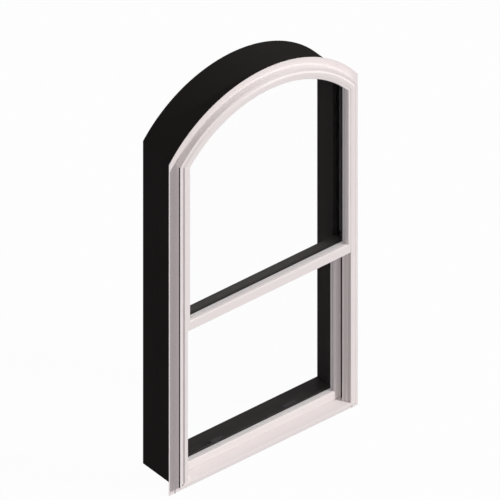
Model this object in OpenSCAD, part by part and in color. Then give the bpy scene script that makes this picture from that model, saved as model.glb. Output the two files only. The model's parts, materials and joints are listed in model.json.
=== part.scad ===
// Segmental-arch sash window in its frame: fixed arched upper sash, sliding lower sash, millimetres.
// X is the width, +Y points into the building, Z is up. Y = 0 is the back of the nailing fins.

/* [Frame] */
// Width over the jambs
frame_w = 914.4; // [800:0.1:1100]
// Height of the jambs from the bottom to the spring of the arch
spring_h = 1609; // [1500:1:1700]
// Rise of the arch above its spring
arch_rise = 228.6; // [180:0.1:260]
// Thickness of the jamb boards
jamb_t = 22.2; // [20:0.1:26]
// Depth of the jamb boards behind the fins
jamb_d = 110.5; // [100:0.5:130]
// Thickness of the extension boards
ext_t = 12.7; // [10:0.1:16]
// Depth of the extension boards
ext_d = 92; // [40:1:140]

/* [Outside trim] */
// Width of the nailing fins
fin_w = 31; // [25:0.25:38]
// Thickness of the nailing fins
fin_t = 2; // [1.5:0.1:3]
// Height between the nail holes of the side fins
nail_pitch = 450; // [400:10:470]
// How far the flat face stands out from the fins' back
face_out = 34.2; // [33:0.1:36]
// How far the bead stands out from the fins' back
bead_out = 40.4; // [36:0.1:44]

/* [Sashes] */
// Level of the fixed meeting rail's top
meet_z = 824.6; // [760:0.1:860]
// Height of the fixed meeting rail
meet_h = 44.6; // [40:0.1:55]
// Level of the sliding sash's top rail cap
slide_top = 818; // [755:0.5:850]
// Thickness of the insulating glass units
glass_t = 19; // [17:0.5:20]
// Thickness of one pane
pane_t = 3; // [3:0.5:5]

/* [Hidden] */

half_w = frame_w / 2;
arch_r = (half_w * half_w + arch_rise * arch_rise) / (2 * arch_rise);
arch_z = spring_h + arch_rise - arch_r;
spring_a = asin(half_w / arch_r);
miter_a = (90 - spring_a) / 2;
back_y = jamb_d + ext_d;
$fn = 180;
big = 3000;

// Sill: levels along its sloped top
sill_front = -bead_out;
sill_z = 28;
sill_slope = 10;
sill_skin = 6;
nose_z = 21;
fascia_z = 9;
skin_back = 43;
core_z = 2;
dam_y = 57;
dam_z = 52;

// Sash sections, as depths (inwards from the frame's outside) and Y
bead_d = 35.4;
up_front = -39.4;
up_back = 8.4;
up_in = 50.5;
up_face_d = 36;
up_bevel = 4.8;
up_lip = -21;
cover_in = 56.2;
lo_front = 10.4;
lo_back = 53.4;
lo_out = 37.2;
lo_in = 76.6;
lo_face_d = 60;
lo_bevel = 4;
bevel_w = 3.4;
lo_lip = 24;
lo_glass = lo_lip + glass_t;
up_glass = up_lip + glass_t;
rebate = 12;
spacer_w = 7.5;
rail_bottom = 38.5;
sash_gap = 2;
ledge_z = 77.4;
top_rail_z = 770;
cap_t = 3;

white = [0.83, 0.81, 0.79];
black = [0.03, 0.028, 0.027];
steel = [0.6, 0.6, 0.6];
pale = [0.8, 0.8, 0.78];
clear = [0.8, 0.86, 0.88, 0.3];

function sill_at(y) = sill_z + (y - sill_front) * tan(sill_slope);

// A straight run: a section of [depth, y] points standing on the right jamb side
module stand(section, z0, z1) {
    translate([0, 0, z0])
        linear_extrude(z1 - z0)
            polygon([for (q = section) [half_w - q[0], q[1]]]);
}

// The same section swept round the arch
module sweep(section) {
    translate([0, 0, arch_z])
        rotate([90, 0, 0])
            rotate([0, 0, 90 - spring_a - 6])
                rotate_extrude(angle = 2 * spring_a + 12)
                    polygon([for (q = section) [arch_r - q[0], -q[1]]]);
}

// Everything above the two mitre planes at the springs
module above_spring() {
    intersection() {
        translate([half_w, 0, spring_h])
            rotate([0, -miter_a, 0])
                translate([-big, -big / 2, 0])
                    cube([big * 2, big, big]);
        translate([-half_w, 0, spring_h])
            rotate([0, miter_a, 0])
                translate([-big, -big / 2, 0])
                    cube([big * 2, big, big]);
    }
}

module jamb_side(section, z0) {
    difference() {
        stand(section, z0, spring_h + 30);
        translate([half_w, 0, spring_h])
            rotate([0, -miter_a, 0])
                translate([-big, -big / 2, 0])
                    cube([big * 2, big, big]);
    }
}

module arch_side(section) {
    intersection() {
        sweep(section);
        above_spring();
    }
}

// A bar along X with a section of [y, z] points
module bar(section, half) {
    translate([-half, 0, 0])
        rotate([90, 0, 90])
            linear_extrude(2 * half)
                polygon(section);
}

// The window outline at one depth, from a level up to the arch
module outline(d, bottom) {
    difference() {
        translate([d - half_w, bottom])
            square([2 * (half_w - d), spring_h + arch_rise - bottom]);
        difference() {
            translate([-half_w, arch_z])
                square([frame_w, arch_r + 10]);
            translate([0, arch_z])
                circle(arch_r - d);
        }
    }
}

module slab(y0, y1) {
    translate([0, y1, 0])
        rotate([90, 0, 0])
            linear_extrude(y1 - y0)
                children();
}

module box(a, b) {
    translate(a)
        cube(b - a);
}

module flip() {
    mirror([1, 0, 0])
        children();
}

// Frame boards
board = [[0, 0], [jamb_t, 0], [jamb_t, jamb_d], [0, jamb_d]];
ext_board = [[0, jamb_d], [ext_t, jamb_d], [ext_t, back_y], [0, back_y]];

module jamb_right() {
    color(black)
        jamb_side(board, 0);
}

module jamb_left() {
    flip()
        jamb_right();
}

module head_jamb() {
    color(black)
        arch_side(board);
}

module extension_right() {
    color(black)
        jamb_side(ext_board, 0);
}

module extension_left() {
    flip()
        extension_right();
}

module extension_head() {
    color(black)
        arch_side(ext_board);
}

module extension_sill() {
    color(black)
        box([ext_t - half_w, jamb_d, 0], [half_w - ext_t, back_y, ext_t]);
}

module sill_core() {
    skin_z = sill_at(skin_back) - sill_skin;
    color(black)
        bar([[0, core_z], [jamb_d, core_z], [jamb_d, dam_z], [dam_y, dam_z], [dam_y, sill_at(dam_y)],
            [skin_back, sill_at(skin_back)], [skin_back, skin_z], [0, sill_at(0) - sill_skin]], half_w - jamb_t);
}

// The nosing runs out between the flat faces, and the rest fits between the jambs
module sill_cladding() {
    color(white)
        union() {
            bar([[-face_out, fascia_z], [0, fascia_z], [0, sill_at(0) - sill_skin],
                [skin_back, sill_at(skin_back) - sill_skin], [skin_back, sill_at(skin_back)],
                [-face_out, sill_at(-face_out)]], half_w - jamb_t);
            bar([[sill_front, nose_z], [-face_out, nose_z], [-face_out, sill_at(-face_out)],
                [sill_front + 0.8, sill_z], [sill_front, sill_z - 0.8]], half_w - cove_d);
        }
}

// Nailing fins: flange, root and the tongue in the frame's kerf
fin_section = [[-fin_w, 0], [-fin_w, -fin_t], [-4, -fin_t], [0, -6], [0, -4], [7.5, -4], [7.5, -2], [0, -2], [0, 0]];

// Nail holes run along the middle of the flanges
nail_d = 18;
nail_r = 1.6;

module nail_hole(x, z) {
    translate([x, 0, z])
        rotate([90, 0, 0])
            cylinder(r = nail_r, h = 20, center = true);
}

module fin_right() {
    color(white)
        difference() {
            jamb_side(fin_section, -fin_w);
            box([half_w - 20, -7, -fin_w - 1], [half_w, 1, fascia_z]);
            for (i = [0 : 3])
                nail_hole(half_w + nail_d, 150 + i * nail_pitch);
        }
}

module fin_left() {
    flip()
        fin_right();
}

module fin_head() {
    nail_at = arch_r + nail_d;
    color(white)
        difference() {
            arch_side(fin_section);
            for (a = [-40, -15, 15, 40])
                nail_hole(nail_at * sin(a), arch_z + nail_at * cos(a));
        }
}

// The sill fin steps clear of the boards above its flat back
module fin_sill() {
    color(white)
        difference() {
            bar([[0, -fin_w], [0, core_z - 0.5], [-0.5, core_z - 0.5], [-0.5, fascia_z], [-fin_t, fascia_z],
                [-fin_t, -fin_w]], half_w);
            for (s = [-1, 1])
                translate([s * half_w - jamb_t - 5, -0.6, -0.3])
                    cube([2 * jamb_t + 10, 2, 3]);
            nail_hole(-250, -nail_d);
            nail_hole(250, -nail_d);
        }
}

// Outside frame: a lip at its edge, a flat strip, a cove and a bead. The straight sides keep a groove
// behind the lip for the corner gasket.
lip_d = 8.4;
lip_y = -face_out - 1;
gasket_d = 3.8;
groove_y = -26.3;
groove_t = 7.1;
cove_d = 13.8;
bead_back = -29;
kerf = [[0, -4.2], [8, -4.2], [8, -1.8], [0, -1.8], [0, 0], [jamb_t, 0]];
lip = [[lip_d, -face_out], [lip_d, lip_y], [0, lip_y]];
bead_front = [[bead_d, -bead_out], [cove_d + 5.8, -bead_out], [cove_d + 3, -bead_out + 3.8], [cove_d, -face_out]];
side_wall = concat(kerf, [[jamb_t, -face_out]], lip,
    [[0, groove_y - groove_t], [gasket_d, groove_y - groove_t], [gasket_d, groove_y], [0, groove_y]]);
side_bead = concat([[bead_d, bead_back]], bead_front, [[cove_d, 1 - face_out], [jamb_t - 1, 1 - face_out],
    [jamb_t - 1, bead_back]]);
head_face = concat(kerf, [[jamb_t, bead_back], [bead_d, bead_back]], bead_front, lip);

// What the sill takes from the foot of an upright, from X = x0 to x1 and Y = y0 to y1
module sill_cut(x0, x1, y0, y1, gap) {
    translate([x0, 0, gap])
        rotate([90, 0, 90])
            linear_extrude(x1 - x0)
                polygon([[y0, -gap - 1], [y1, -gap - 1], [y1, sill_at(y1)], [y0, sill_at(y0)]]);
}

module frame_face_right() {
    color(white)
        union() {
            jamb_side(side_wall, fascia_z);
            difference() {
                jamb_side(side_bead, nose_z);
                sill_cut(half_w - bead_d - 1, half_w - cove_d + 1, sill_front - 1, bead_back + 1, 0);
            }
        }
}

module frame_face_left() {
    flip()
        frame_face_right();
}

module frame_face_head() {
    color(white)
        arch_side(head_face);
}

gasket = [[0, groove_y], [gasket_d, groove_y], [gasket_d, groove_y - groove_t], [0, groove_y - groove_t]];

module corner_gasket_right() {
    color(black)
        jamb_side(gasket, fascia_z);
}

module corner_gasket_left() {
    flip()
        corner_gasket_right();
}

// Stepped covers that close the upper sash's pocket beside the sliding sash
pile_d = 53;
cover = [[22.7, -27.2], [45.7, -27.2], [45.7, -14.8], [cover_in, -14.8], [cover_in, -8.8], [pile_d, -8.8],
    [pile_d, 1.2], [cover_in, 1.2], [cover_in, up_back], [22.7, up_back]];
pile = [[pile_d, -8.8], [cover_in, -8.8], [cover_in, 1.2], [pile_d, 1.2]];

module below_meeting_rail(section) {
    difference() {
        stand(section, 20, meet_bottom - 0.5);
        sill_cut(half_w - cover_in - 1, half_w, sill_front, lo_front, 0.3);
    }
}

module jamb_cover_right() {
    color(white)
        below_meeting_rail(cover);
}

module jamb_cover_left() {
    flip()
        jamb_cover_right();
}

module cover_pile_right() {
    color(black)
        below_meeting_rail(pile);
}

module cover_pile_left() {
    flip()
        cover_pile_right();
}

// Channel on the jamb that guides the sliding sash and holds its balance
liner_t = 3;
liner_lip = lo_out - 0.8;
liner = [[jamb_t, 12], [liner_lip, 12], [liner_lip, 14], [jamb_t + liner_t, 14], [jamb_t + liner_t, 50],
    [liner_lip, 50], [liner_lip, 52], [jamb_t, 52]];

module track_liner_right() {
    color(black)
        stand(liner, 48, tube_z1 - 3);
}

module track_liner_left() {
    flip()
        track_liner_right();
}

stop_in = 52.2;
inner_stop = [[jamb_t, 55.4], [stop_in, 55.4], [stop_in, 66.4], [stop_in - 3, 69.4], [jamb_t, 69.4]];

module inner_stop_right() {
    color(black)
        jamb_side(inner_stop, dam_z);
}

module inner_stop_left() {
    flip()
        inner_stop_right();
}

module inner_stop_head() {
    color(black)
        arch_side(inner_stop);
}

// Upper sash, fixed in the outside half of the frame
upper_section = [[24.7, -27.4], [up_face_d, -27.4], [up_face_d, up_front], [up_in - bevel_w, up_front],
    [up_in, up_front + up_bevel],
    [up_in, up_lip], [up_in - rebate, up_lip], [up_in - rebate, up_glass], [24.7, up_glass]];
meet_bottom = meet_z - meet_h;

// The room of a rail between two stiles. Its top corners are mitred, from depth outer_d to inner_d.
module rail_room(inner_d, outer_d, top) {
    near = half_w - inner_d;
    far = half_w - outer_d + 0.2;
    shoulder = top - far + near;
    slab(-60, 60)
        polygon([[-far, top - 70], [far, top - 70], [far, shoulder], [near, top], [-near, top], [-far, shoulder]]);
}

module upper_rail_room() {
    rail_room(up_in, up_face_d, meet_z);
}

// Screws that fix the sash through its inside bead
screw_d = 31;
screw_levels = [900, 1200, 1500];
screw_r = 2;
screw_head_r = 3.8;

module at_screws() {
    for (s = [-1, 1])
        for (z = screw_levels)
            translate([s * (half_w - screw_d), 0, z])
                rotate([90, 0, 0])
                    children();
}

module screw_holes() {
    at_screws()
        translate([0, 0, -up_back - 1])
            cylinder(r = screw_r, h = up_back + 1 + 20);
    at_screws()
        translate([0, 0, -up_back - 1])
            cylinder(r = screw_head_r, h = 3.4);
}

module upper_sash_screws() {
    color(steel)
        at_screws() {
            translate([0, 0, -up_back + 0.2])
                cylinder(r = screw_head_r, h = 2.2);
            translate([0, 0, -up_back + 1])
                cylinder(r = screw_r, h = up_back - 1 + 20);
        }
}

module upper_stile_right() {
    color(white)
        difference() {
            jamb_side(upper_section, meet_bottom);
            upper_rail_room();
            screw_holes();
        }
}

module upper_stile_left() {
    flip()
        upper_stile_right();
}

module upper_arch_rail() {
    color(white)
        arch_side(upper_section);
}

module upper_meeting_rail() {
    color(white)
        intersection() {
            bar([[up_front, meet_bottom], [up_glass, meet_bottom], [up_glass, meet_z - rebate],
                [up_lip, meet_z - rebate], [up_lip, meet_z], [up_front + up_bevel, meet_z],
                [up_front, meet_z - bevel_w]], half_w - up_face_d);
            upper_rail_room();
        }
}

// Inside glazing bead: one ring with an arched head, pocketed for the lock keeper
module upper_inner_bead() {
    color(black)
        difference() {
            slab(up_glass, up_back)
                difference() {
                    outline(24.7, meet_bottom);
                    outline(up_in, meet_z);
                }
            box([-keeper_l, keeper_y, lock_z], [keeper_r, up_back + 1, lock_z + 12]);
            screw_holes();
        }
}

module upper_pane(y0) {
    slab(y0, y0 + pane_t)
        outline(up_in - rebate + 1, meet_z - rebate + 1);
}

module upper_pane_outer() {
    color(clear)
        upper_pane(up_lip);
}

module upper_pane_inner() {
    color(clear)
        upper_pane(up_glass - pane_t);
}

module upper_spacer() {
    color(pale)
        slab(up_lip + pane_t, up_glass - pane_t)
            difference() {
                outline(up_in - spacer_w, meet_z - spacer_w);
                outline(up_in, meet_z);
            }
}

// Blocks that carry the glass, a quarter of the way in from each end
module setting_blocks(bottom, y0) {
    for (s = [-1, 1])
        box([s * 200 - 40, y0, bottom], [s * 200 + 40, y0 + glass_t, bottom + 1]);
}

module upper_setting_blocks() {
    color(black)
        setting_blocks(meet_z - rebate, up_lip);
}

// Lower sash, sliding in the inside half of the frame
lower_section = [[lo_out, lo_front], [lo_in - bevel_w, lo_front], [lo_in, lo_front + lo_bevel], [lo_in, lo_lip],
    [lo_in - rebate, lo_lip], [lo_in - rebate, lo_glass], [lo_out, lo_glass]];
lo_half = half_w - lo_in;
rail_top = slide_top - cap_t;

module lower_rail_room() {
    rail_room(lo_in, lo_face_d, ledge_z);
}

module lower_stile_right() {
    color(white)
        difference() {
            stand(lower_section, rail_bottom, rail_top);
            lower_rail_room();
            sill_cut(lo_half - 1, half_w, 0, lo_glass + 1, sash_gap);
        }
}

module lower_stile_left() {
    flip()
        lower_stile_right();
}

module lower_bottom_rail() {
    color(white)
        intersection() {
            bar([[lo_front, sill_at(lo_front) + sash_gap], [lo_glass, sill_at(lo_glass) + sash_gap],
                [lo_glass, ledge_z - rebate], [lo_lip, ledge_z - rebate], [lo_lip, ledge_z],
                [lo_front + lo_bevel, ledge_z], [lo_front, ledge_z - bevel_w]], half_w - lo_face_d);
            lower_rail_room();
        }
}

// Pocket for the lock in the top rail, with its mouths on both faces
lock_z = 790;
lock_y = 36;
lock_l = 42;
lock_r = 28;
keeper_l = 26;
keeper_r = 16;
keeper_y = 1.5;

module lock_pocket() {
    box([-lock_l, lo_front - 1, lock_z - 1], [lock_r, lo_back + 1, lock_z + 13]);
}

module lower_top_rail() {
    color(white)
        difference() {
            bar([[lo_front, rail_top], [lo_front, top_rail_z + bevel_w], [lo_front + lo_bevel, top_rail_z],
                [lo_lip, top_rail_z], [lo_lip, top_rail_z + rebate], [lo_glass, top_rail_z + rebate],
                [lo_glass, rail_top]], lo_half);
            lock_pocket();
        }
}

module top_rail_cap() {
    color(black)
        box([lo_out - half_w, lo_front, rail_top], [half_w - lo_out, lo_back, slide_top]);
}

module lower_inner_bead() {
    bead_bottom = 47;
    color(black)
        difference() {
            slab(lo_glass, lo_back)
                difference() {
                    translate([lo_out - half_w, bead_bottom])
                        square([2 * (half_w - lo_out), rail_top - bead_bottom]);
                    translate([-lo_half, ledge_z])
                        square([2 * lo_half, top_rail_z - ledge_z]);
                }
            lock_pocket();
            at_lift_screws()
                translate([0, 0, -1])
                    cylinder(r = lift_screw_r, h = 9);
        }
}

module lower_pane(y0) {
    edge = half_w - lo_in + rebate - 1;
    box([-edge, y0, ledge_z - rebate + 1], [edge, y0 + pane_t, top_rail_z + rebate - 1]);
}

module lower_pane_outer() {
    color(clear)
        lower_pane(lo_lip);
}

module lower_pane_inner() {
    color(clear)
        lower_pane(lo_glass - pane_t);
}

module lower_spacer() {
    color(pale)
        slab(lo_lip + pane_t, lo_glass - pane_t)
            difference() {
                translate([-lo_half - spacer_w, ledge_z - spacer_w])
                    square([2 * (lo_half + spacer_w), top_rail_z - ledge_z + 2 * spacer_w]);
                translate([-lo_half, ledge_z])
                    square([2 * lo_half, top_rail_z - ledge_z]);
            }
}

module lower_setting_blocks() {
    color(black)
        setting_blocks(ledge_z - rebate, lo_lip);
}

// Bulb under the bottom rail, just clear of the sill
module bottom_seal() {
    color(black)
        bar([[20, sill_at(20) + 0.4], [32, sill_at(32) + 0.4], [32, sill_at(32) + sash_gap],
            [20, sill_at(20) + sash_gap]], lo_half);
}

module meeting_seal() {
    color(black)
        box([-half_w + 60, up_back, 806], [half_w - 60, up_back + 1.6, 814]);
}

// Lock: a cam with a tongue and a lever, turning in a case let into the top rail
module lock_case() {
    color(steel)
        difference() {
            box([-lock_l, lo_front + 0.5, lock_z - 1], [lock_r, lo_back, lock_z + 13]);
            box([-lock_l + 2, lo_front - 1, lock_z + 1], [lock_r - 2, lo_back + 1, lock_z + 11]);
            translate([0, lock_y, lock_z - 3])
                cylinder(r = 3.05, h = 20);
        }
}

module lock_cam() {
    color(steel)
        translate([0, lock_y, 0])
            union() {
                translate([0, 0, lock_z - 0.5])
                    cylinder(r = 3, h = 13);
                translate([0, 0, lock_z + 3])
                    cylinder(r = 9, h = 6);
                box([-33, -4, lock_z + 4], [0, 4, lock_z + 8]);
                rotate([0, 0, 45])
                    box([0, -4, lock_z + 3], [38, 4, lock_z + 7]);
            }
}

module lock_keeper() {
    color(steel)
        difference() {
            box([-keeper_l, keeper_y, lock_z], [keeper_r, up_back, lock_z + 12]);
            box([-keeper_l + 2, keeper_y + 1, lock_z + 2], [keeper_r - 2, up_back + 1, lock_z + 10]);
        }
}

// Two hook lifts screwed to the bottom bead of the sliding sash
lift_x = 190;
lift_half = 30;
lift_z = 56;
lift_screw_r = 1.9;

module at_lift_screws() {
    for (x = [-lift_x, lift_x])
        for (t = [-22, 22])
            translate([x + t, lo_back, lift_z + 8])
                rotate([90, 0, 0])
                    children();
}

module lift_handles() {
    color(steel)
        difference() {
            for (x = [-lift_x, lift_x])
                translate([x, lo_back, lift_z])
                    bar([[0, 0], [2, 0], [2, 17], [15.5, 17], [15.5, 12], [18, 12], [18, 20], [0, 20]], lift_half);
            at_lift_screws()
                translate([0, 0, -5])
                    cylinder(r = lift_screw_r + 0.1, h = 10);
        }
}

module lift_screws() {
    color(steel)
        at_lift_screws() {
            translate([0, 0, -3.6])
                cylinder(r = 3.4, h = 1.6);
            translate([0, 0, -2.2])
                cylinder(r = lift_screw_r, h = 10);
        }
}

// Spiral balances beside the sliding sash: tube on the jamb, rod on the sash
tube_x = half_w - 29.9;
tube_y = 32;
tube_z0 = 850;
tube_z1 = 1590;
rod_top = 870;
foot_z = 52;

// The hanger on top of each tube is fixed to the jamb
module balance_tubes() {
    color(steel)
        for (s = [0, 1])
            mirror([s, 0, 0])
                union() {
                    translate([tube_x, tube_y, tube_z0])
                        difference() {
                            cylinder(r = 4.5, h = tube_z1 - tube_z0);
                            translate([0, 0, -1])
                                cylinder(r = 3.2, h = tube_z1 - tube_z0 - 8);
                        }
                    box([tube_x - 4, tube_y - 5, tube_z1], [half_w - jamb_t, tube_y + 5, tube_z1 + 10]);
                }
}

module balance_rods() {
    color(steel)
        for (s = [-1, 1])
            translate([s * tube_x, tube_y, foot_z + 10])
                cylinder(r = 2.2, h = rod_top - foot_z - 10);
}

module balance_brackets() {
    color(steel)
        for (s = [0, 1])
            mirror([s, 0, 0])
                box([half_w - lo_out, tube_y - 6, foot_z], [tube_x + 4, tube_y + 6, foot_z + 10]);
}

jamb_left();
jamb_right();
head_jamb();
sill_core();
sill_cladding();
extension_left();
extension_right();
extension_head();
extension_sill();
fin_left();
fin_right();
fin_head();
fin_sill();
frame_face_left();
frame_face_right();
frame_face_head();
corner_gasket_left();
corner_gasket_right();
jamb_cover_left();
jamb_cover_right();
cover_pile_left();
cover_pile_right();
track_liner_left();
track_liner_right();
inner_stop_left();
inner_stop_right();
inner_stop_head();
upper_stile_left();
upper_stile_right();
upper_arch_rail();
upper_meeting_rail();
upper_inner_bead();
upper_sash_screws();
upper_pane_outer();
upper_pane_inner();
upper_spacer();
upper_setting_blocks();
lower_stile_left();
lower_stile_right();
lower_top_rail();
lower_bottom_rail();
top_rail_cap();
lower_inner_bead();
lower_pane_outer();
lower_pane_inner();
lower_spacer();
lower_setting_blocks();
bottom_seal();
meeting_seal();
lock_case();
lock_cam();
lock_keeper();
lift_handles();
lift_screws();
balance_tubes();
balance_rods();
balance_brackets();
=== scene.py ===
"""Arch-top sash window in its frame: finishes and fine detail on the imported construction."""

import json
from math import cos, pi, radians, sin

import bmesh
import bpy
from mathutils import Matrix, Vector
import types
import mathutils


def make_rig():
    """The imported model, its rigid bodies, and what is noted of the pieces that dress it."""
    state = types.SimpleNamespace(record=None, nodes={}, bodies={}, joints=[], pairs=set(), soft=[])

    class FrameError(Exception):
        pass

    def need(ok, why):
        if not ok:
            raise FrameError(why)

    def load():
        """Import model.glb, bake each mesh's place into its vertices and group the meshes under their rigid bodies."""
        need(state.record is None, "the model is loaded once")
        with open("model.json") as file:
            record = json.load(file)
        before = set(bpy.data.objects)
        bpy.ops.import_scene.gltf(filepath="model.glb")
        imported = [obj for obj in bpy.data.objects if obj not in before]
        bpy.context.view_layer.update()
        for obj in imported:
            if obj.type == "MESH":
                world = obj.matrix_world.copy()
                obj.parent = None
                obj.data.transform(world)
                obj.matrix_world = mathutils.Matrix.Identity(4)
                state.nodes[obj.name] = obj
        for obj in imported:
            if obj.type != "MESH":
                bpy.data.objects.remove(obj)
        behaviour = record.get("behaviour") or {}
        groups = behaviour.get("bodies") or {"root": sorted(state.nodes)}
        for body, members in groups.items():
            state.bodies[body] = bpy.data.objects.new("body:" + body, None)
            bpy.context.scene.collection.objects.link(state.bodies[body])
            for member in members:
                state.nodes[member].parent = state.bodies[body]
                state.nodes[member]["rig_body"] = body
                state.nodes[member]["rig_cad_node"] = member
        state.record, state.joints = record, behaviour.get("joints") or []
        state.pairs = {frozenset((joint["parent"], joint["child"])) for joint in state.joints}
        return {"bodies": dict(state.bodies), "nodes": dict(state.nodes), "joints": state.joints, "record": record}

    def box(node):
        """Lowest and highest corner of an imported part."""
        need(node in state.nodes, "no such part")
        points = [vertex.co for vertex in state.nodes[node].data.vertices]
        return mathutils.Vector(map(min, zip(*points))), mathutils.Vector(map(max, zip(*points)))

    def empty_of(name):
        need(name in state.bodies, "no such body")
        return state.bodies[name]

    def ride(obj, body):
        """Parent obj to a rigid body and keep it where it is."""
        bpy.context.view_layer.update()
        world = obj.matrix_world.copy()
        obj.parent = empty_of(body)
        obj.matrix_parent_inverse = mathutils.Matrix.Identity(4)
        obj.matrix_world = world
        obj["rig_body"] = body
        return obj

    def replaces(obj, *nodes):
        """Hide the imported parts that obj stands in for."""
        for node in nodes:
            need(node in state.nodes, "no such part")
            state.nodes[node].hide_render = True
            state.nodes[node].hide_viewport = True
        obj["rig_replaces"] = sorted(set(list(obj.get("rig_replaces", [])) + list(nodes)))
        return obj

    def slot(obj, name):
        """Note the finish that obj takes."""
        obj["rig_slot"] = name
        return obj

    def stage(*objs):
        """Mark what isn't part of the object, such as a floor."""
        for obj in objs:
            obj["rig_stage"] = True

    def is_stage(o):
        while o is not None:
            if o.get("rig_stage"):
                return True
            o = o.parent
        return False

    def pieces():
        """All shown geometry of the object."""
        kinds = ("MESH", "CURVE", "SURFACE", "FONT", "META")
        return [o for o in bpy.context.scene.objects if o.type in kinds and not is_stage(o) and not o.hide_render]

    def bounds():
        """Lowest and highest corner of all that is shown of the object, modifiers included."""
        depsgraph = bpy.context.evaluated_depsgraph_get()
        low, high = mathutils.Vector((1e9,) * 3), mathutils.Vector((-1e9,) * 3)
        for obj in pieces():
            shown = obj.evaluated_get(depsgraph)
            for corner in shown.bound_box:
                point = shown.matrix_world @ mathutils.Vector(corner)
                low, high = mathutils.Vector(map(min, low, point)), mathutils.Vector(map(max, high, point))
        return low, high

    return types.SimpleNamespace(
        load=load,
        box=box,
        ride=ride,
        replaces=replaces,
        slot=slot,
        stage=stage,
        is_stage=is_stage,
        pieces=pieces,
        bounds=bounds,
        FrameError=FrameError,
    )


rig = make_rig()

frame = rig.load()
cad_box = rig.bounds()
scene = bpy.context.scene

# ---------------------------------------------------------------- viewpoint
# The window is seen from outdoors, from its left and above, in a parallel view, as in a maker's
# catalogue. The camera looks at a point a little behind the glass, so the frame fills the picture.

AZIMUTH = radians(-39.2)
ELEVATION = radians(36.54)
LOOK_AT = Vector((0.2510, 0.3910, 0.6252))
VIEW_SIZE = 2.00525

back = Vector((sin(AZIMUTH) * cos(ELEVATION), -cos(AZIMUTH) * cos(ELEVATION), sin(ELEVATION)))
camera = bpy.data.objects.new("camera", bpy.data.cameras.new("camera"))
camera.data.type = "ORTHO"
camera.data.ortho_scale = VIEW_SIZE
camera.data.clip_end = 100
camera.location = LOOK_AT + back * 6
camera.rotation_euler = (-back).to_track_quat("-Z", "Y").to_euler()
scene.collection.objects.link(camera)
scene.camera = camera
scene.view_settings.view_transform = "Standard"


# ---------------------------------------------------------------- studio
# A pale seamless floor, one hard lamp high on the right in front, and an even white room round it.
# Gloss sees a bright upper half of the room and a dim lower half, so black paint stays black.

LAMP_FROM = Vector((0.545, -0.665, 0.510))
LAMP_POWER = 2.16
LAMP_WIDTH = radians(3)
ROOM_LIGHT = 0.49
GLOSS_ABOVE = 0.50
GLOSS_BELOW = 0.04
GLOSS_FADE = (-0.1, 0.35)
ROOM_TINT = (1, 0.955, 1.01, 1)
FLOOR_TINT = (0.012, 0.012, 0.012, 1)
FLOOR_GLOW = 0.974
FLOOR_SIZE = 60
FLOOR_GAP = 0.0005

lamp = bpy.data.objects.new("lamp", bpy.data.lights.new("lamp", "SUN"))
lamp.data.energy = LAMP_POWER
lamp.data.angle = LAMP_WIDTH
lamp.rotation_euler = LAMP_FROM.to_track_quat("Z", "Y").to_euler()
scene.collection.objects.link(lamp)

room = bpy.data.worlds.new("room")
room.use_nodes = True
scene.world = room
links = room.node_tree.links
direction = room.node_tree.nodes.new("ShaderNodeTexCoord")
height = room.node_tree.nodes.new("ShaderNodeSeparateXYZ")
links.new(direction.outputs["Generated"], height.inputs[0])
halves = room.node_tree.nodes.new("ShaderNodeMapRange")
halves.inputs["From Min"].default_value, halves.inputs["From Max"].default_value = GLOSS_FADE
halves.inputs["To Min"].default_value = GLOSS_BELOW
halves.inputs["To Max"].default_value = GLOSS_ABOVE
links.new(height.outputs["Z"], halves.inputs["Value"])
ray = room.node_tree.nodes.new("ShaderNodeLightPath")
strength = room.node_tree.nodes.new("ShaderNodeMix")
strength.inputs[2].default_value = ROOM_LIGHT
links.new(ray.outputs["Is Glossy Ray"], strength.inputs[0])
links.new(halves.outputs[0], strength.inputs[3])
links.new(strength.outputs[0], room.node_tree.nodes["Background"].inputs["Strength"])
room.node_tree.nodes["Background"].inputs["Color"].default_value = ROOM_TINT

bpy.ops.mesh.primitive_plane_add(size=FLOOR_SIZE, location=(0, 0, cad_box[0].z - FLOOR_GAP))
floor = bpy.context.object
floor.name = "floor"
paper = bpy.data.materials.new("paper_floor")
paper.use_nodes = True
paper_shader = paper.node_tree.nodes["Principled BSDF"]
paper_shader.inputs["Base Color"].default_value = FLOOR_TINT
paper_shader.inputs["Roughness"].default_value = 1
paper_shader.inputs["Specular IOR Level"].default_value = 0
paper_shader.inputs["Emission Color"].default_value = (1, 1, 1, 1)
paper_shader.inputs["Emission Strength"].default_value = FLOOR_GLOW
floor.data.materials.append(paper)
floor.visible_glossy = False
floor.visible_diffuse = False
floor.visible_shadow = False
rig.stage(floor)


# ---------------------------------------------------------------- painted boards
# Jambs, bent head, sill and extension boards are pine, painted black. Their colour holds painted light and shade:
# the room side of the box takes lighter tones and the outside darker ones, with its own pair for upright, level and
# bent boards, to stand for how the light falls on each face. Their edges are eased, and the grain shows faintly
# through the paint.


class Field:
    """A number that varies over a surface. Arithmetic on it adds Math nodes."""

    def __init__(self, finish, socket):
        self.finish = finish
        self.socket = socket

    def math(self, operation, *others):
        return self.finish.node("ShaderNodeMath", {"operation": operation}, [self, *others])

    def __add__(self, other):
        return self.math("ADD", other)

    def __sub__(self, other):
        return self.math("SUBTRACT", other)

    def __rsub__(self, other):
        return self.finish.node("ShaderNodeMath", {"operation": "SUBTRACT"}, [other, self])

    def __mul__(self, other):
        return self.math("MULTIPLY", other)

    __radd__ = __add__
    __rmul__ = __mul__


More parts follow.
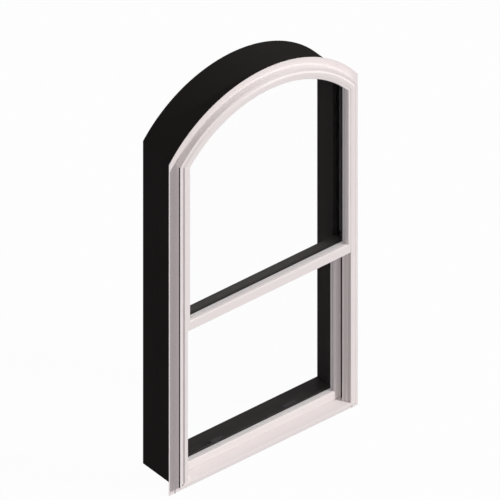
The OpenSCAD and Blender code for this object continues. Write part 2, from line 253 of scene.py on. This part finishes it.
class Finish:
    """A material with one principled shader, whose sockets take numbers, colours or fields."""

    def __init__(self, name, **constants):
        self.material = bpy.data.materials.new(name)
        self.material.use_nodes = True
        self.tree = self.material.node_tree
        self.shader = self.tree.nodes["Principled BSDF"]
        self.set(**constants)

    def set(self, **values):
        for name, value in values.items():
            self.plug(self.shader.inputs[name.replace("_", " ")], value)

    def plug(self, socket, value):
        if isinstance(value, Field):
            self.tree.links.new(value.socket, socket)
        elif isinstance(value, tuple) and len(value) == 3 and socket.type == "RGBA":
            socket.default_value = (*value, 1)
        else:
            socket.default_value = value

    def node(self, kind, settings, values, output=0):
        made = self.tree.nodes.new(kind)
        for name, setting in settings.items():
            setattr(made, name, setting)
        named = values.items() if isinstance(values, dict) else enumerate(values)
        for key, value in named:
            self.plug(made.inputs[key], value)
        return Field(self, made.outputs[output])

    def place(self):
        """The three object coordinates, in metres."""
        spot = self.node("ShaderNodeTexCoord", {}, {}, "Object")
        return [self.node("ShaderNodeSeparateXYZ", {}, [spot], axis) for axis in "XYZ"]

    def noise(self, point, scale, detail=2.0):
        where = self.node("ShaderNodeCombineXYZ", {}, point)
        return self.node("ShaderNodeTexNoise", {}, {"Vector": where, "Scale": scale, "Detail": detail}, "Fac")

    def blend(self, share, low, high):
        """A colour between two colours."""
        return self.node("ShaderNodeMix", {"data_type": "RGBA"}, {0: share, 6: low, 7: high}, 2)

    def bump(self, height, depth, strength=1.0):
        relief = self.node("ShaderNodeBump", {}, {"Height": height, "Distance": depth, "Strength": strength})
        self.set(Normal=relief)


JAMB_LOW, JAMB_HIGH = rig.box("jamb_right")
HEAD_LOW, HEAD_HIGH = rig.box("head_jamb")
HALF_WIDTH = JAMB_HIGH.x
SPRING = JAMB_HIGH.z
RISE = HEAD_HIGH.z - SPRING
ARCH_RADIUS = (HALF_WIDTH**2 + RISE**2) / (2 * RISE)
ARCH_CENTRE = HEAD_HIGH.z - ARCH_RADIUS


def along(finish, run):
    """The coordinates of a board with its length last: upright, level, or bent round the arch."""
    x, y, z = finish.place()
    if run == "level":
        return [y, z, x]
    if run == "bent":
        rise = z - ARCH_CENTRE
        reach = (x * x + rise * rise).math("SQRT")
        return [reach, y, x.math("ARCTAN2", rise) * ARCH_RADIUS]
    return [x, y, z]


# Painted light and shade: one black paint, lighter on the room-side faces and darker outside, and different for each
# run of board, to match the light each face takes.
DARKEST, DARKER = (0.0120, 0.0095, 0.0088), (0.0200, 0.0160, 0.0148)
PAINTED_LIGHT_INNER_PAIR = (0.0280, 0.0240, 0.0225), (0.0380, 0.0330, 0.0310)
OUTER_PAINTED_LIGHT = {
    "upright": (DARKEST, DARKER),
    "level": (DARKEST, DARKER),
    "bent": ((0.0085, 0.0065, 0.0060), (0.0150, 0.0118, 0.0108)),
}
INNER_PAINTED_LIGHT = {
    "upright": PAINTED_LIGHT_INNER_PAIR,
    "level": ((0.0130, 0.0100, 0.0086), (0.0210, 0.0165, 0.0142)),
    "bent": PAINTED_LIGHT_INNER_PAIR,
}
SHINE = {"upright": 0.26, "level": 0.34, "bent": 0.10}
SKIN = 0.003


def black_paint(run):
    """Black over pine whose grain runs along the board, with painted light: darker tones outside the box, lighter ones
    on the room side.
    """
    paint = Finish("black_paint_" + run)
    across, deep, long = along(paint, run)
    grain = paint.noise([across * 260, deep * 260, long * 9], 1.0, 5.0)
    brush = paint.noise([across * 900, deep * 900, long * 25], 1.0, 2.0)
    cloud = paint.noise([across * 6, deep * 6, long * 3], 1.0)
    tone = grain * 0.6 + cloud * 0.4
    if run == "level":
        room = 1.0
    else:
        edge = ARCH_RADIUS if run == "bent" else HALF_WIDTH
        room = across.math("ABSOLUTE").math("LESS_THAN", edge - SKIN)
    # Painted light: outside faces take the darker pair, room-side faces the lighter one.
    outer_painted_tone = paint.blend(tone, *OUTER_PAINTED_LIGHT[run])
    inner_painted_tone = paint.blend(tone, *INNER_PAINTED_LIGHT[run])
    paint.set(Base_Color=paint.blend(room, outer_painted_tone, inner_painted_tone))
    paint.set(Roughness=0.40 + 0.14 * cloud + 0.08 * brush)
    paint.shader.inputs["Specular IOR Level"].default_value = SHINE[run]
    paint.bump(grain * 0.7 + brush * 0.3, 0.00025, 0.35)
    return paint.material


black = {run: black_paint(run) for run in ("upright", "level", "bent")}


def eased(node, width, material, segments=2):
    """A copy of a construction piece with its sharp edges rounded over, standing in for it."""
    source = frame["nodes"][node]
    shape = bmesh.new()
    shape.from_mesh(source.data)
    bmesh.ops.remove_doubles(shape, verts=shape.verts, dist=1e-6)
    bmesh.ops.dissolve_limit(shape, angle_limit=radians(0.3), verts=shape.verts, edges=shape.edges)
    sharp = [e for e in shape.edges if len(e.link_faces) == 2 and e.calc_face_angle() > radians(25)]
    bmesh.ops.bevel(
        shape, geom=sharp, offset=width, segments=segments, profile=0.5, affect="EDGES", clamp_overlap=True
    )
    mesh = bpy.data.meshes.new(node + "_piece")
    shape.to_mesh(mesh)
    shape.free()
    if "custom_normal" in mesh.attributes:
        mesh.attributes.remove(mesh.attributes["custom_normal"])
    mesh.materials.clear()
    mesh.materials.append(material)
    mesh.polygons.foreach_set("material_index", [0] * len(mesh.polygons))
    mesh.polygons.foreach_set("use_smooth", [True] * len(mesh.polygons))
    mesh.set_sharp_from_angle(angle=radians(40))
    piece = bpy.data.objects.new(node + "_piece", mesh)
    scene.collection.objects.link(piece)
    flatten = piece.modifiers.new("flatten", "WEIGHTED_NORMAL")
    flatten.keep_sharp = True
    flatten.weight = 90
    piece.data = bpy.data.meshes.new_from_object(piece.evaluated_get(bpy.context.evaluated_depsgraph_get()))
    piece.modifiers.remove(flatten)
    return settle(piece, node, source["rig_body"])


def settle(piece, node, body):
    """Ties a finished piece to its body, its material slot and the construction node it stands for."""
    slots = {part["node"]: part["material_slot"] for part in frame["record"]["subparts"]}
    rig.ride(piece, body)
    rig.slot(piece, slots[node])
    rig.replaces(piece, node)
    return piece


for board in ("jamb_left", "jamb_right", "extension_left", "extension_right"):
    eased(board, 0.0008, black["upright"])
for board in ("sill_core", "extension_sill"):
    eased(board, 0.0008, black["level"])
for board in ("head_jamb", "extension_head"):
    eased(board, 0.0008, black["bent"])


# ---------------------------------------------------------------- nailing fins
# Thin flat fins of white vinyl run round the frame, for nailing it to the wall. They are extruded,
# so faint die lines run along them; the round nail holes are punched later.

def white_vinyl(run):
    vinyl = Finish("white_vinyl_" + run)
    across, deep, long = along(vinyl, run)
    lines = vinyl.noise([across * 1400, deep * 1400, long * 3], 1.0, 1.0)
    cloud = vinyl.noise([across * 12, deep * 12, long * 5], 1.0)
    vinyl.set(Base_Color=vinyl.blend(cloud, (0.815, 0.762, 0.738), (0.845, 0.792, 0.765)))
    vinyl.set(Roughness=0.46 + 0.12 * lines)
    vinyl.bump(lines, 0.00008, 0.4)
    return vinyl.material


vinyl = {run: white_vinyl(run) for run in ("upright", "level", "bent")}
for fin in ("fin_left", "fin_right"):
    eased(fin, 0.0003, vinyl["upright"])
eased("fin_head", 0.0003, vinyl["bent"])
eased("fin_sill", 0.0003, vinyl["level"])


# ---------------------------------------------------------------- outside frame and sashes
# The weather side is fibreglass lineal with a baked warm white coat: the face and bead, the sloping
# sill, the covers beside the sliding sash, and both sashes. The coat has a fine orange peel.

def white_coat(run):
    coat = Finish("white_coat_" + run)
    across, deep, long = along(coat, run)
    peel = coat.noise([across * 420, deep * 420, long * 300], 1.0, 2.0)
    cloud = coat.noise([across * 5, deep * 5, long * 3], 1.0)
    coat.set(Base_Color=coat.blend(cloud, (0.825, 0.768, 0.742), (0.855, 0.800, 0.774)))
    coat.set(Roughness=0.34 + 0.1 * peel + 0.06 * cloud)
    coat.shader.inputs["Specular IOR Level"].default_value = 0.25
    coat.bump(peel, 0.00012, 0.3)
    return coat.material


coat = {run: white_coat(run) for run in ("upright", "level", "bent")}
for part in ("frame_face_left", "frame_face_right", "jamb_cover_left", "jamb_cover_right"):
    eased(part, 0.0005, coat["upright"])
for part in ("upper_stile_left", "upper_stile_right", "lower_stile_left", "lower_stile_right"):
    eased(part, 0.0005, coat["upright"])
for part in ("sill_cladding", "upper_meeting_rail", "lower_top_rail", "lower_bottom_rail"):
    eased(part, 0.0005, coat["level"])
for part in ("frame_face_head", "upper_arch_rail"):
    eased(part, 0.0005, coat["bent"])


# ---------------------------------------------------------------- inside beads, stops and cap
# Black painted glazing beads hold the glass from the room side, black stops keep the sliding sash
# in its track, and a dusty black vinyl cap covers the top of its rail, all with eased edges.

for part in ("inner_stop_left", "inner_stop_right", "lower_inner_bead"):
    eased(part, 0.0007, black["upright"])
eased("inner_stop_head", 0.0007, black["bent"])
eased("upper_inner_bead", 0.0007, black["upright"])
cap = Finish("black_cap")
x, y, z = cap.place()
dust = cap.noise([x * 30, y * 120, z * 120], 1.0, 3.0)
cap.set(Base_Color=cap.blend(dust, (0.034, 0.029, 0.027), (0.052, 0.045, 0.042)))
cap.set(Roughness=0.42 + 0.18 * dust)
cap.bump(dust, 0.0001, 0.3)
eased("top_rail_cap", 0.0006, cap.material)


# ---------------------------------------------------------------- black vinyl channels
# Extruded channels screwed to the jambs guide the sliding sash and hide its balances.

channel = Finish("black_vinyl")
x, y, z = channel.place()
die = channel.noise([x * 1200, y * 1200, z * 4], 1.0, 1.0)
channel.set(Base_Color=channel.blend(die, (0.016, 0.016, 0.016), (0.026, 0.026, 0.026)))
channel.set(Roughness=0.4 + 0.15 * die)
channel.bump(die, 0.0001, 0.4)
for part in ("track_liner_left", "track_liner_right"):
    eased(part, 0.0004, channel.material)


# ---------------------------------------------------------------- seals
# Dull black rubber: the gaskets beside the flat face, the seals under and behind the sliding sash,
# and the setting blocks under the glass. They have a light bloom and a fine skin.

rubber = Finish("black_rubber")
x, y, z = rubber.place()
skin = rubber.noise([x, y, z], 900.0, 2.0)
bloom = rubber.noise([x, y, z], 18.0, 3.0)
rubber.set(Base_Color=rubber.blend(bloom, (0.012, 0.012, 0.012), (0.024, 0.023, 0.022)))
rubber.set(Roughness=0.66 + 0.2 * bloom)
rubber.shader.inputs["Specular IOR Level"].default_value = 0.3
rubber.bump(skin, 0.00012, 0.4)
for part in ("corner_gasket_left", "corner_gasket_right", "bottom_seal", "meeting_seal"):
    eased(part, 0.0005, rubber.material, segments=3)
for part in ("upper_setting_blocks", "lower_setting_blocks"):
    eased(part, 0.0002, rubber.material)


# ---------------------------------------------------------------- glass
# Each sash holds two panes of clear float glass. It is seen straight through, with a weak
# reflection that grows at a glancing angle, and hardly any colour of its own.

glass = Finish("clear_glass")
glass.tree.nodes.remove(glass.shader)
x, y, z = glass.place()
clear = glass.node("ShaderNodeBsdfTransparent", {}, {"Color": (0.9992, 0.9996, 0.9994, 1)})
wave = glass.noise([x, y, z], 3.0, 1.0)
relief = glass.node("ShaderNodeBump", {}, {"Height": wave, "Distance": 0.0004, "Strength": 0.2})
shine = glass.node(
    "ShaderNodeBsdfAnisotropic", {}, {"Color": (0.95, 0.98, 0.97, 1), "Roughness": 0.02, "Normal": relief}
)
glance = glass.node("ShaderNodeFresnel", {}, {"IOR": 1.45})
inside = glass.node("ShaderNodeNewGeometry", {}, {}, "Backfacing")
sheet = glass.node("ShaderNodeMixShader", {}, [glance * 0.06 * (1 - inside), clear, shine])
glass.tree.links.new(sheet.socket, glass.tree.nodes["Material Output"].inputs["Surface"])
for part in ("upper_pane_outer", "upper_pane_inner", "lower_pane_outer", "lower_pane_inner"):
    eased(part, 0.0004, glass.material)


# ---------------------------------------------------------------- spacer bars
# A white roll-formed bar keeps the two panes apart, all round the edge of each unit. Its lower run
# has breathing slots on the side that faces the gap, to let the drying grains inside work.

bar = Finish("white_spacer_bar")
x, y, z = bar.place()
rolled = bar.noise([x * 40, y * 1500, z * 40], 1.0, 2.0)
bar.set(Base_Color=bar.blend(rolled, (0.72, 0.70, 0.69), (0.80, 0.78, 0.77)))
bar.set(Roughness=0.4 + 0.2 * rolled)
bar.bump(rolled, 0.0001, 0.3)
for part in ("upper_spacer", "lower_spacer"):
    eased(part, 0.0004, bar.material)


def repeated(name, spots, pattern, material, turn=(0, 0, 0), shrink=0.0):
    """One mesh with a copy of the pattern at each spot, turned and shrunk a little at random."""
    points = bpy.data.meshes.new(name)
    points.from_pydata([tuple(spot) for spot in spots], [], [])
    made = bpy.data.objects.new(name, points)
    source = bpy.data.objects.new(name + "_pattern", pattern)
    scene.collection.objects.link(made)
    scene.collection.objects.link(source)
    group = bpy.data.node_groups.new(name, "GeometryNodeTree")
    group.interface.new_socket("Spots", in_out="INPUT", socket_type="NodeSocketGeometry")
    keys = {}
    for label, kind in (("Pattern", "Object"), ("Turn", "Vector"), ("Smallest", "Float"), ("Material", "Material")):
        socket = group.interface.new_socket(label, in_out="INPUT", socket_type="NodeSocket" + kind)
        keys[label] = socket.identifier
    group.interface.new_socket("Copies", in_out="OUTPUT", socket_type="NodeSocketGeometry")
    add = group.nodes.new
    join = group.links.new
    start, end = add("NodeGroupInput"), add("NodeGroupOutput")
    thing, copies = add("GeometryNodeObjectInfo"), add("GeometryNodeInstanceOnPoints")
    real, coated = add("GeometryNodeRealizeInstances"), add("GeometryNodeSetMaterial")
    angle, size = add("FunctionNodeRandomValue"), add("FunctionNodeRandomValue")
    angle.data_type = "FLOAT_VECTOR"
    angle.inputs[0].default_value = (0, 0, 0)
    join(start.outputs["Turn"], angle.inputs[1])
    join(start.outputs["Smallest"], size.inputs[2])
    size.inputs[3].default_value = 1.0
    join(start.outputs["Pattern"], thing.inputs["Object"])
    join(start.outputs["Spots"], copies.inputs["Points"])
    join(thing.outputs["Geometry"], copies.inputs["Instance"])
    join(angle.outputs[0], copies.inputs["Rotation"])
    join(size.outputs[1], copies.inputs["Scale"])
    join(copies.outputs[0], real.inputs[0])
    join(real.outputs[0], coated.inputs["Geometry"])
    join(start.outputs["Material"], coated.inputs["Material"])
    join(coated.outputs[0], end.inputs[0])
    modifier = made.modifiers.new("repeat", "NODES")
    modifier.node_group = group
    modifier[keys["Pattern"]] = source
    modifier[keys["Turn"]] = turn
    modifier[keys["Smallest"]] = 1.0 - shrink
    modifier[keys["Material"]] = material
    made.data = bpy.data.meshes.new_from_object(made.evaluated_get(bpy.context.evaluated_depsgraph_get()))
    made.modifiers.remove(modifier)
    bpy.data.objects.remove(source)
    return made


def finished(shape, name):
    """The mesh of a worked shape."""
    mesh = bpy.data.meshes.new(name)
    shape.to_mesh(mesh)
    shape.free()
    return mesh


SLOT = (0.0036, 0.0012, 0.00014)
SLOT_PITCH = 0.009
SLOT_ENDS = 0.02
SPACER_WIDTH = 0.0075

slot_shape = bmesh.new()
bmesh.ops.create_cube(slot_shape, size=1, matrix=Matrix.Diagonal((*SLOT, 1)))
slot_mesh = finished(slot_shape, "breathing_slot")
shadow = Finish("slot_shadow", Roughness=0.9)
x, y, z = shadow.place()
shadow.set(Base_Color=shadow.blend(shadow.noise([x, y, z], 300.0), (0.06, 0.06, 0.06), (0.11, 0.11, 0.10)))
for part in ("upper_spacer", "lower_spacer"):
    low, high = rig.box(part)
    middle = (low.y + high.y) / 2
    steps = int((high.x - low.x - 2 * SLOT_ENDS) / SLOT_PITCH)
    row = [(low.x + SLOT_ENDS + SLOT_PITCH * i, middle, low.z + SPACER_WIDTH) for i in range(steps)]
    slots = repeated(part + "_slots", row, slot_mesh, shadow.material)
    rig.ride(slots, frame["nodes"][part]["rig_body"])


# ---------------------------------------------------------------- weather pile
# A dense strip of short black bristles stands in the cover beside each edge of the sliding sash.
# The tufts lean a little at random and end at slightly different lengths.

TUFT_ROWS = 5
TUFTS_IN_ROW = 430
TUFT_ROOT, TUFT_TIP = 0.0008, 0.0005
ROW_GAP = 0.0019

pile_fibre = Finish("black_pile")
x, y, z = pile_fibre.place()
fibre = pile_fibre.noise([x * 800, y * 2200, z * 2200], 1.0, 2.0)
pile_fibre.set(Base_Color=pile_fibre.blend(fibre, (0.010, 0.010, 0.010), (0.030, 0.028, 0.027)))
pile_fibre.set(Roughness=0.8 + 0.15 * fibre)
pile_fibre.bump(fibre, 0.0002, 0.6)
for side, part in ((-1, "cover_pile_left"), (1, "cover_pile_right")):
    low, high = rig.box(part)
    tip, root = (high.x, low.x) if side < 0 else (low.x, high.x)
    tuft_shape = bmesh.new()
    bmesh.ops.create_cone(
        tuft_shape,
        cap_ends=True,
        segments=5,
        radius1=TUFT_ROOT,
        radius2=TUFT_TIP,
        depth=abs(tip - root) * 0.94,
        matrix=Matrix.Translation(((tip - root) * 0.5, 0, 0)) @ Matrix.Rotation(radians(-90 * side), 4, "Y"),
    )
    tuft_mesh = finished(tuft_shape, "tuft")
    rows = [low.y + 0.0012 + ROW_GAP * k for k in range(TUFT_ROWS)]
    length = high.z - low.z - 0.012
    steps = [low.z + 0.009 + length * i / TUFTS_IN_ROW for i in range(TUFTS_IN_ROW)]
    spots = [(root, row, level) for row in rows for level in steps]
    tufts = repeated(part + "_tufts", spots, tuft_mesh, pile_fibre.material, turn=(0, 0.03, 0.03), shrink=0.05)
    settle(tufts, part, "frame")


# ---------------------------------------------------------------- screws
# Zinc-plated pan-head screws with a cross recess hold the fixed sash in its frame, through the
# inside bead, and the two lifts on the sliding sash. Each was left turned as it was driven.

zinc = Finish("zinc_plate", Metallic=1.0)
x, y, z = zinc.place()
spangle = zinc.noise([x, y, z], 160.0, 3.0)
zinc.set(Base_Color=zinc.blend(spangle, (0.50, 0.50, 0.49), (0.62, 0.62, 0.60)))
zinc.set(Roughness=0.32 + 0.2 * spangle)
zinc.bump(spangle, 0.00006, 0.3)


def lathed(shape, profile, segments=24):
    """A turned solid about Y from (radius, height) points, closed at both ends."""
    rings = []
    for radius, level in profile:
        turns = [2 * pi * i / segments for i in range(segments)]
        rings.append([shape.verts.new((radius * cos(t), level, radius * sin(t))) for t in turns])
    for one, two in zip(rings, rings[1:]):
        for i in range(segments):
            j = (i + 1) % segments
            shape.faces.new((one[i], one[j], two[j], two[i]))
    shape.faces.new(rings[0][::-1])
    shape.faces.new(rings[-1])
    bmesh.ops.recalc_face_normals(shape, faces=shape.faces)


def screw_mesh(head_radius, head_height, shank_radius, length):
    """A screw whose head's top is at the origin and whose shank runs towards -Y."""
    shape = bmesh.new()
    edge = head_height * 0.35
    lathed(shape, [
        (shank_radius, -length), (shank_radius, -head_height), (head_radius, -head_height),
        (head_radius, -edge), (head_radius * 0.9, -edge * 0.35), (head_radius * 0.6, 0),
    ])
    cross = bmesh.new()
    arm = head_radius * 0.95
    for size in ((arm, head_height, arm * 0.26), (arm * 0.26, head_height, arm)):
        bmesh.ops.create_cube(cross, size=1, matrix=Matrix.Diagonal((*size, 1)))
    screw = bpy.data.objects.new("screw", finished(shape, "screw"))
    cutter = bpy.data.objects.new("cross", finished(cross, "cross"))
    scene.collection.objects.link(screw)
    scene.collection.objects.link(cutter)
    carve = screw.modifiers.new("carve", "BOOLEAN")
    carve.object = cutter
    carve.use_self = True
    carved = bpy.data.meshes.new_from_object(screw.evaluated_get(bpy.context.evaluated_depsgraph_get()))
    bpy.data.objects.remove(screw)
    bpy.data.objects.remove(cutter)
    return carved


SASH_HEAD, SASH_HEAD_HEIGHT, SASH_SHANK = 0.0038, 0.0022, 0.002
LIFT_HEAD, LIFT_HEAD_HEIGHT, LIFT_SHANK = 0.0034, 0.0016, 0.0019
LIFT_SPAN = 0.044
ANY_TURN = (0, 2 * pi, 0)

low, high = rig.box("upper_sash_screws")
levels = [low.z + SASH_HEAD, (low.z + high.z) / 2, high.z - SASH_HEAD]
spots = [(x, high.y, level) for x in (low.x + SASH_HEAD, high.x - SASH_HEAD) for level in levels]
screw = screw_mesh(SASH_HEAD, SASH_HEAD_HEIGHT, SASH_SHANK, high.y - low.y)
settle(repeated("sash_screws", spots, screw, zinc.material, ANY_TURN), "upper_sash_screws", "frame")

low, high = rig.box("lift_screws")
level = (low.z + high.z) / 2
outer = high.x - LIFT_HEAD
spots = [(side * x, high.y, level) for side in (-1, 1) for x in (outer, outer - LIFT_SPAN)]
screw = screw_mesh(LIFT_HEAD, LIFT_HEAD_HEIGHT, LIFT_SHANK, high.y - low.y)
settle(repeated("lift_screw_heads", spots, screw, zinc.material, ANY_TURN), "lift_screws", "lower_sash")


# ---------------------------------------------------------------- balances
# A zinc tube hangs beside each edge of the opening. A flat steel strip, twisted into a long spiral,
# runs down from inside it to a bracket on the sliding sash.

for part in ("balance_tubes", "balance_brackets"):
    eased(part, 0.0003, zinc.material)

ROD_RADIUS = 0.0022
STRIP_WIDE, STRIP_THICK = 0.0020, 0.0006
STRIP_PITCH = 0.045
STRIP_STEPS = 270

low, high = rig.box("balance_rods")
spiral = bmesh.new()
for centre in (low.x + ROD_RADIUS, high.x - ROD_RADIUS):
    rings = []
    for i in range(STRIP_STEPS + 1):
        level = low.z + (high.z - low.z) * i / STRIP_STEPS
        turn = 2 * pi * (level - low.z) / STRIP_PITCH
        corners = []
        for wide, thick in ((1, 1), (-1, 1), (-1, -1), (1, -1)):
            across, deep = wide * STRIP_WIDE, thick * STRIP_THICK
            corners.append(spiral.verts.new((
                centre + across * cos(turn) - deep * sin(turn),
                (low.y + high.y) / 2 + across * sin(turn) + deep * cos(turn),
                level,
            )))
        rings.append(corners)
    for one, two in zip(rings, rings[1:]):
        for i in range(4):
            spiral.faces.new((one[i], one[(i + 1) % 4], two[(i + 1) % 4], two[i]))
    spiral.faces.new(rings[0][::-1])
    spiral.faces.new(rings[-1])
bmesh.ops.recalc_face_normals(spiral, faces=spiral.faces)
spiral_mesh = finished(spiral, "spiral_rods")
spiral_mesh.materials.append(zinc.material)
rods = bpy.data.objects.new("spiral_rods", spiral_mesh)
scene.collection.objects.link(rods)
settle(rods, "balance_rods", "lower_sash")


# ---------------------------------------------------------------- lock and lifts
# The sash lock and the two hook lifts are metal parts under satin black powder coat, with rounded
# edges and a fine grit in the coat.

powder = Finish("black_powder_coat")
x, y, z = powder.place()
grit = powder.noise([x, y, z], 1500.0, 2.0)
touch = powder.noise([x, y, z], 60.0, 2.0)
powder.set(Base_Color=powder.blend(grit, (0.012, 0.012, 0.012), (0.022, 0.021, 0.021)))
powder.set(Roughness=0.3 + 0.2 * touch)
powder.bump(grit, 0.00008, 0.4)
for part in ("lock_case", "lock_cam", "lock_keeper", "lift_handles"):
    eased(part, 0.0005, powder.material, segments=3)

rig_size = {"cad": [list(corner) for corner in cad_box], "visual": [list(corner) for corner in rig.bounds()]}
with open("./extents.json", "w") as out:
    json.dump(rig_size, out)
